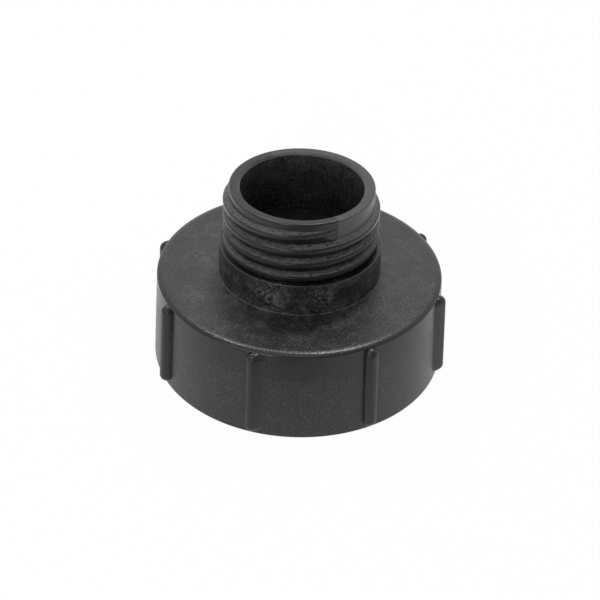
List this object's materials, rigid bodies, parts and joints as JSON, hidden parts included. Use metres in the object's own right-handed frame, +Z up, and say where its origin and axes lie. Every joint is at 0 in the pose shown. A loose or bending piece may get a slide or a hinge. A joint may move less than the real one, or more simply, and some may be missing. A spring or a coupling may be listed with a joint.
{
  "type": "ibc tap adapter",
  "caption": "Moulded screw adapter for a tank outlet: a wide ribbed socket with a coarse female thread below, a flat plate and plain collar, and a narrower neck with a male thread on top.",
  "frame": {"origin": "centre of the socket's open bottom face, on the axis", "axes": "+Z up the axis from socket to neck, -Y through the front mould parting line and the rib on it, +X to its right, along the pull of one mould half"},
  "size_m": [0.1212, 0.1212, 0.0755],
  "materials": {
    "body_plastic": "satin, as moulded",
    "seal_rubber": "matt"
  },
  "bodies": {
    "root": {"adapter_body": "body_plastic", "flat_gasket": "seal_rubber"}
  },
  "joints": []
}
